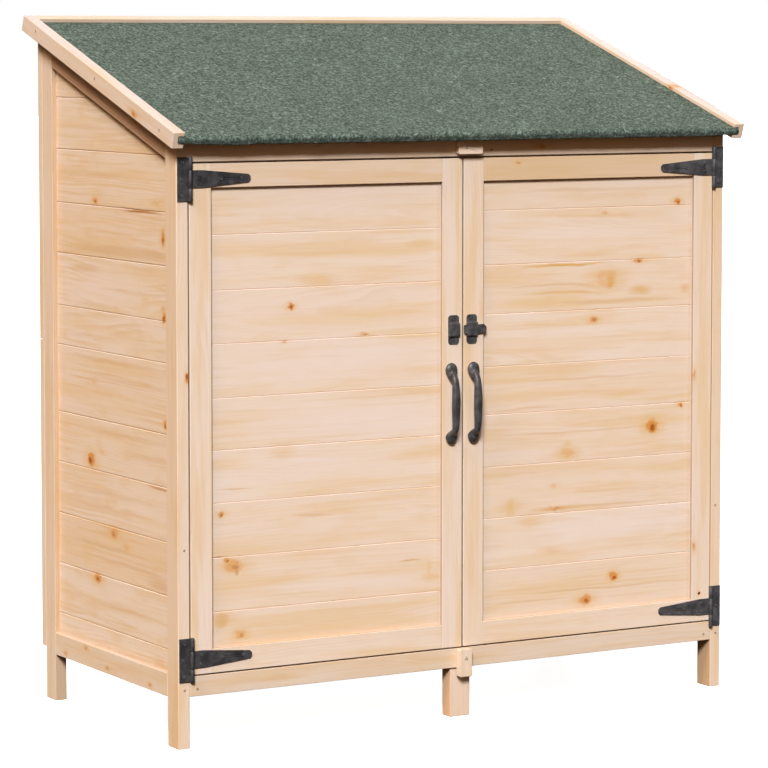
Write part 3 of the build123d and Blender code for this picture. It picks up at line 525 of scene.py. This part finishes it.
# The back roof trim's faces other than its upper ones get a painted shade.
dress("back_roof_trim", pine("back_roof_trim", "X", yf(515), middle=1130.0, seed=461.0, tone=.10, dim=.93, unshaded_axis="Z"))
dress("roof_deck", pine("roof_deck", "X", 1000.0, middle=1000.0, seed=471.0, tone=.45, contrast=1.3))
dress("top_turn_button", pine("top_turn_button", "X", yf(-12), middle=934.8, seed=481.0, tone=.22, contrast=0.8))
dress("bottom_turn_button", pine("bottom_turn_button", "Z", yf(-12), middle=1.0, seed=491.0, tone=.06, contrast=0.8))

for n in list(STILES) + list(POSTS) + list(RAILS) + ["left_side_bottom_rail", "right_side_bottom_rail", "left_side_top_rail", "right_side_top_rail", "left_bargeboard", "right_bargeboard", "back_roof_trim", "back_lower_stiles", "back_upper_stiles"]:
    ease(n, 1.0)
for n in ("top_turn_button", "bottom_turn_button"):
    ease(n, 1.0, 3)

# ------------------------------------------------------------------ new pieces
def add_piece(name, mesh, mat, body, node):
    """A mesh in millimetres (y from the posts' front face) that stands for a CAD node."""
    mesh.transform(Matrix.Scale(0.001, 4) @ Matrix.Translation((0.0, Y0, 0.0)))
    mesh.materials.clear()
    mesh.materials.append(mat)
    o = bpy.data.objects.new(name, mesh)
    bpy.context.scene.collection.objects.link(o)
    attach(o, body)
    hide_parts(node)
    return o


def islands(node):
    """Boxes (lowest, highest corner) in millimetres of the separate solids in a CAD node."""
    bm = bmesh.new()
    bm.from_mesh(nodes[node].data)
    bmesh.ops.remove_doubles(bm, verts=bm.verts, dist=1e-5)
    bm.verts.index_update()
    seen, boxes = set(), []
    for start in bm.verts:
        if start.index in seen:
            continue
        stack, pts = [start], []
        seen.add(start.index)
        while stack:
            v = stack.pop()
            pts.append(v.co * 1000.0 - Vector((0.0, Y0, 0.0)))
            for e in v.link_edges:
                w = e.other_vert(v)
                if w.index not in seen:
                    seen.add(w.index)
                    stack.append(w)
        boxes.append((Vector([min(p[i] for p in pts) for i in range(3)]), Vector([max(p[i] for p in pts) for i in range(3)])))
    bm.free()
    return boxes


def smooth(t, lo, hi):
    t = min(max((t - lo) / (hi - lo), 0.0), 1.0)
    return t * t * (3.0 - 2.0 * t)


def grid_faces(bm, rows, closed_u=False):
    """Quads between rows of vertices."""
    for r0, r1 in zip(rows, rows[1:]):
        n = len(r0)
        for i in range(n if closed_u else n - 1):
            j = (i + 1) % n
            bm.faces.new((r0[i], r0[j], r1[j], r1[i]))


def as_mesh(bm, name, flat=False):
    bmesh.ops.recalc_face_normals(bm, faces=bm.faces)
    for f in bm.faces:
        f.smooth = not flat
    me = bpy.data.meshes.new(name)
    bm.to_mesh(me)
    bm.free()
    return me


# Roof felt: one sheet from the back trim to the front, rolled over the deck's edge
# and cut off raggedly below it.
FELT_X, FELT_BACK, FELT_TOP, FELT_THICK = 530.0, 570.8, 6.5, 1.9


def roof_point(x, s, n):
    return Vector((x, ROOF_Y0 + s * CS + n * SN, ROOF_Z0 + s * SN - n * CS))


def felt_mesh():
    bm = bmesh.new()
    cols = 266
    line = [(FELT_BACK - (FELT_BACK - 5.0) * i / 64.0, FELT_TOP, 0.0) for i in range(65)]
    for i in range(1, 11):
        t = math.radians(9.0 * i)
        line.append((5.0 - 6.6 * math.sin(t), FELT_TOP + 6.6 - 6.6 * math.cos(t), 0.0))
    line += [(-1.6 + 0.25 * i, FELT_TOP + 6.6, i / 5.0) for i in range(1, 6)]
    outer, inner = [], []
    for k in range(len(line)):
        ro, ri = [], []
        s, n, hang = line[k]
        s0, n0, _ = line[max(k - 1, 0)]
        s1, n1, _ = line[min(k + 1, len(line) - 1)]
        for i in range(cols + 1):
            x = -FELT_X + 2 * FELT_X * i / cols
            edge = smooth(FELT_X - abs(x), 12.0, 60.0)
            wave = noise.noise(Vector((x * 0.012, s * 0.012, 3.0))) * 0.55 + noise.noise(Vector((x * 0.05, s * 0.05, 9.0))) * 0.25
            drop = 5.2 + 2.6 * edge + noise.noise(Vector((x * 0.02, 40.0, 1.0))) * 1.6 + noise.noise(Vector((x * 0.13, 4.0, 7.0))) * 1.1 + noise.noise(Vector((x * 0.45, 9.0, 2.0))) * 0.7
            lean = noise.noise(Vector((x * 0.03, 11.0, 5.0))) * 0.9 + noise.noise(Vector((x * 0.16, 1.0, 8.0))) * 0.5
            pn = n + drop * hang
            ps = s + (lean * edge if hang or s < 3.0 else 0.0)
            ds, dn = s1 - s0, (n1 - n0) if not hang and line[min(k + 1, len(line) - 1)][2] == 0 else 2.0
            ln = math.hypot(ds, dn)
            nx, nn = dn / ln, -ds / ln           # turns towards the inner side
            lift = wave * 0.6 * edge * smooth(s, 6.0, 60.0)
            ro.append(bm.verts.new(roof_point(x, ps, pn - max(lift, -0.25))))
            ri.append(bm.verts.new(roof_point(x, ps + nx * FELT_THICK, pn + nn * FELT_THICK)))
        outer.append(ro)
        inner.append(ri)
    grid_faces(bm, outer)
    grid_faces(bm, inner)
    for rows in ((outer[0], inner[0]), (outer[-1], inner[-1])):
        grid_faces(bm, rows)
    for side in (0, -1):
        grid_faces(bm, ([r[side] for r in outer], [r[side] for r in inner]))
    return as_mesh(bm, "roof_felt_sheet")


felt = add_piece("roof_felt_sheet", felt_mesh(), FELT, "frame", "roof_felt")


# Bow handles: a faceted grip between a long upper foot and a round lower one.
def loft(bm, rings):
    rows = [[bm.verts.new(p) for p in ring] for ring in rings]
    grid_faces(bm, rows, closed_u=True)
    bm.faces.new(list(reversed(rows[0])))
    bm.faces.new(rows[-1])


def curve_at(points, t):
    """Catmull-Rom through points of any length."""
    n = len(points) - 1
    f = min(max(t, 0.0), 1.0) * n
    i = min(int(f), n - 1)
    u = f - i
    p0, p1, p2, p3 = (points[min(max(j, 0), n)] for j in (i - 1, i, i + 1, i + 2))
    return [0.5 * (2 * b + (c - a) * u + (2 * a - 5 * b + 4 * c - d) * u * u + (3 * b - a - 3 * c + d) * u ** 3) for a, b, c, d in zip(p0, p1, p2, p3)]


def handle_mesh(x, z1, z0):
    bm = bmesh.new()
    span = z1 - z0
    # along the grip: z below the upper foot's centre, proud, half width, half depth
    key = [(2.0, 6.5, 4.6, 3.9), (7.0, 12.0, 4.8, 3.9), (13.0, 16.6, 5.3, 3.9), (21.0, 18.8, 6.0, 4.0), (36.0, 19.8, 7.0, 4.3), (span / 2, 20.2, 7.6, 4.4), (span - 36, 19.8, 7.0, 4.3),
           (span - 20, 19.2, 6.2, 4.0), (span - 11, 17.4, 5.4, 3.9), (span - 6, 12.6, 4.9, 3.9), (span - 2, 6.5, 4.7, 3.9)]
    pts = [curve_at(key, i / 96.0) for i in range(97)]
    rings = []
    for i, (dz, proud, hw, hd) in enumerate(pts):
        a, b = pts[max(i - 1, 0)], pts[min(i + 1, 96)]
        along = Vector((0.0, -(b[1] - a[1]), -(b[0] - a[0]))).normalized()
        across = Vector((1.0, 0.0, 0.0))
        out = along.cross(across).normalized()
        if out.y > 0:
            out = -out
        ring = []
        for j in range(40):
            t = 2 * math.pi * j / 40
            e = 2.0 / 3.4                         # squarish, so that flats run along the grip
            cx = math.copysign(abs(math.cos(t)) ** e, math.cos(t))
            cy = math.copysign(abs(math.sin(t)) ** e, math.sin(t))
            squeeze = 1.0 - 0.26 * max(cy, 0.0)   # narrower towards the outside
            ring.append(Vector((x, -proud, z1 - dz)) + across * (hw * cx * squeeze) + out * (hd * cy))
        rings.append(ring)
    loft(bm, rings)
    for centre, up, down, half, tail in ((z1, 12.2, 18.5, 10.9, -1), (z0, 12.6, 12.8, 10.3, 1)):
        made = bmesh.ops.create_uvsphere(bm, u_segments=40, v_segments=28, radius=1.0)
        for v in made["verts"]:
            vx, vy, vz = v.co
            along_tail = max(vz * tail, 0.0)
            width = half * (1.0 - 0.42 * along_tail ** 1.5)
            mid_y = -4.4 - 7.0 * along_tail ** 1.4
            depth = 6.0 - 1.4 * along_tail
            v.co = Vector((x + width * vx, min(mid_y + depth * vy, 0.0), centre + (up if vz > 0 else down) * vz))
    bmesh.ops.recalc_face_normals(bm, faces=bm.faces)
    raw = bpy.data.meshes.new("handle_raw")
    bm.to_mesh(raw)
    bm.free()
    tmp = bpy.data.objects.new("handle_raw", raw)
    bpy.context.scene.collection.objects.link(tmp)
    m = tmp.modifiers.new("union", "REMESH")
    m.mode = "VOXEL"
    m.voxel_size = 0.62
    sm = tmp.modifiers.new("cast", "SMOOTH")
    sm.factor, sm.iterations = 0.5, 5
    de = tmp.modifiers.new("lighter", "DECIMATE")
    de.ratio = 0.45
    deps = bpy.context.evaluated_depsgraph_get()
    me = bpy.data.meshes.new_from_object(tmp.evaluated_get(deps))
    bpy.data.objects.remove(tmp)
    bpy.data.meshes.remove(raw)
    for v in me.vertices:
        v.co.y = min(v.co.y, -0.02)
    me.shade_smooth()
    return me


for side_name, x in (("left", -23.5), ("right", 18.7)):
    add_piece(f"{side_name}_pull_handle", handle_mesh(x, 572.2, 464.4), GRIP_BLACK, f"{side_name}_door", f"{side_name}_door_handle")


# Screws: domed heads with a cross recess, on plain shanks.
def screw_into(bm, lo, hi, head, turn):
    cx, cz, r = (lo.x + hi.x) / 2, (lo.z + hi.z) / 2, (hi.x - lo.x) / 2
    top, seat = lo.y, lo.y + head
    segs, rings = 40, 9
    rows = []
    for i in range(rings + 1):
        q = 1.0 - i / rings
        row = []
        for j in range(segs):
            t = 2 * math.pi * j / segs + turn
            u, v = q * math.cos(t - turn), q * math.sin(t - turn)
            arm = max(smooth(0.17 - abs(u), -0.05, 0.05) * smooth(0.62 - abs(v), -0.06, 0.06), smooth(0.17 - abs(v), -0.05, 0.05) * smooth(0.62 - abs(u), -0.06, 0.06))
            h = head * (0.35 + 0.65 * math.sqrt(max(1.0 - q ** 2.6, 0.0))) - head * 0.75 * arm
            row.append(bm.verts.new((cx + r * q * math.cos(t), seat - max(h, 0.05), cz + r * q * math.sin(t))) if q > 0 else None)
        rows.append(row)
    tip = bm.verts.new((cx, seat - head * 0.25, cz))
    rows = rows[:-1]
    rim = [bm.verts.new((cx + r * math.cos(2 * math.pi * j / segs + turn), seat, cz + r * math.sin(2 * math.pi * j / segs + turn))) for j in range(segs)]
    neck = [bm.verts.new((cx + 0.5 * r * math.cos(2 * math.pi * j / segs + turn), seat, cz + 0.5 * r * math.sin(2 * math.pi * j / segs + turn))) for j in range(segs)]
    foot = [bm.verts.new((cx + 0.5 * r * math.cos(2 * math.pi * j / segs + turn), hi.y - 2.0, cz + 0.5 * r * math.sin(2 * math.pi * j / segs + turn))) for j in range(segs)]
    grid_faces(bm, [foot, neck, rim] + rows, closed_u=True)
    point = bm.verts.new((cx, hi.y, cz))
    for j in range(segs):
        bm.faces.new((rows[-1][j], rows[-1][(j + 1) % segs], tip))
        bm.faces.new((foot[(j + 1) % segs], foot[j], point))


def screws(node, head, mat, body):
    bm = bmesh.new()
    for i, (lo, hi) in enumerate(islands(node)):
        screw_into(bm, lo, hi, head, 0.37 + 1.9 * i)
    add_piece(node + "_cross_head", as_mesh(bm, node + "_cross_head"), mat, body, node)


screws("hinge_plate_screws", 1.1, BLACK, "frame")
screws("left_door_screws", 1.1, BLACK, "left_door")
screws("right_door_screws", 1.1, BLACK, "right_door")
screws("frame_screws", 0.5, SCREW, "frame")
screws("turn_button_screws", 1.3, ZINC, "frame")

# ------------------------------------------------------------------ hardware
for side_name in ("left", "right"):
    for place in ("top", "bottom"):
        for what in ("plate", "strap"):
            n = f"{side_name}_{place}_hinge_{what}"
            dress(n, PALE_BLACK if side_name == "right" else BLACK)
            ease(n, 0.45, 2)
for n in ("hinge_pins", "latch_keeper", "latch_bracket", "left_door_handle", "right_door_handle", "hinge_plate_screws", "left_door_screws", "right_door_screws"):
    dress(n, BLACK)
for n in ("latch_keeper", "latch_bracket"):
    dress(n, PALE_BLACK)
dress("latch_bolt", BOLT_BLACK)
for n in ("latch_keeper", "latch_bracket", "latch_bolt"):
    ease(n, 0.5, 2)
for n in ("frame_screws", "turn_button_screws", "back_panel_nails"):
    dress(n, ZINC)
dress("bargeboard_nails", BRAD)
dress("roof_felt", FELT)

# ------------------------------------------------------------------ floor, light and camera
floor_mesh = bpy.data.meshes.new("floor")
floor_mesh.from_pydata([(-40, -40, 0), (40, -40, 0), (40, 40, 0), (-40, 40, 0)], [], [(0, 1, 2, 3)])
floor = bpy.data.objects.new("floor", floor_mesh)
bpy.context.scene.collection.objects.link(floor)
fmat, fkk, fb = shader("floor_paper")
fkk.put(fkk.mix(fkk.noise(fkk.coords_mm(), scale=0.002, detail=2.0), (0.90, 0.90, 0.90, 1), (0.94, 0.94, 0.94, 1)), fb.inputs["Base Color"])
fb.inputs["Roughness"].default_value = 0.9
fb.inputs["Specular IOR Level"].default_value = 0.0
floor_mesh.materials.append(fmat)
fb.inputs["Emission Color"].default_value = (1, 1, 1, 1)
fb.inputs["Emission Strength"].default_value = 0.92
floor.visible_diffuse = False
floor.visible_glossy = False

world = bpy.data.worlds.new("studio")
bpy.context.scene.world = world
world.use_nodes = True
world.node_tree.nodes.clear()
wk = Kit(world.node_tree)
wout = wk.node("ShaderNodeOutputWorld")
up = wk.xyz(wk.node("ShaderNodeTexCoord").outputs["Generated"])[2]
sky = wk.node("ShaderNodeBackground")
level = wk.step(up, -0.2, 1.0, 0.025, 0.12)
wk.put(level, sky.inputs["Strength"])
sky.inputs["Color"].default_value = (1.0, 0.84, 0.66, 1)
plain = wk.node("ShaderNodeBackground")
plain.inputs["Color"].default_value = (1, 1, 1, 1)
plain.inputs["Strength"].default_value = 1.0
pick = wk.node("ShaderNodeMixShader")
world.node_tree.links.new(wk.node("ShaderNodeLightPath").outputs["Is Camera Ray"], pick.inputs[0])
world.node_tree.links.new(sky.outputs[0], pick.inputs[1])
world.node_tree.links.new(plain.outputs[0], pick.inputs[2])
world.node_tree.links.new(pick.outputs[0], wout.inputs[0])

def distant(name, towards, strength, angle, color):
    light = bpy.data.lights.new(name, "SUN")
    light.energy = strength * math.pi
    light.angle = math.radians(angle)
    light.color = color
    o = bpy.data.objects.new(name, light)
    bpy.context.scene.collection.objects.link(o)
    o.rotation_mode = "QUATERNION"
    o.rotation_quaternion = Vector(towards).normalized().to_track_quat("Z", "Y")


distant("key", (-0.71, -1.0, 0.90), 1.245 / WOOD, 16, (0.955, 1.0, 1.05))
distant("left_high", (-1.0, -0.30, 1.10), 0.342 / WOOD, 14, (1.0, 0.79, 0.556))
distant("left_fill", (-1.0, -0.16, 0.24), 0.065 / WOOD, 30, (1.0, 0.48, 0.20))
distant("front_soft", (-0.25, -1.0, 0.36), 0.105 / WOOD, 60, (1.0, 0.60, 0.34))
distant("back_fill", (0.65, 0.75, 0.45), 0.26 / WOOD, 30, (0.88, 0.93, 1.0))
distant("behind", (0.58, 0.80, 0.04), 0.98 / WOOD, 20, (1.0, 0.95, 0.88))

cam = bpy.data.cameras.new("camera")
cam_obj = bpy.data.objects.new("camera", cam)
bpy.context.scene.collection.objects.link(cam_obj)
bpy.context.scene.camera = cam_obj
cam.sensor_width = 36.0
cam.lens = 157.124
cam.shift_y = -0.12
cam.clip_start, cam.clip_end = 0.05, 200.0
yaw, pitch = math.radians(30.334), math.radians(4.298)
look = Vector((math.sin(yaw) * math.cos(pitch), math.cos(yaw) * math.cos(pitch), -math.sin(pitch)))
cam_obj.location = (-2.8550, (-4626.4 + Y0) / 1000.0, 1.1074)
cam_obj.rotation_mode = "QUATERNION"
cam_obj.rotation_quaternion = look.to_track_quat("-Z", "Y")

bpy.context.scene.view_settings.view_transform = "Standard"
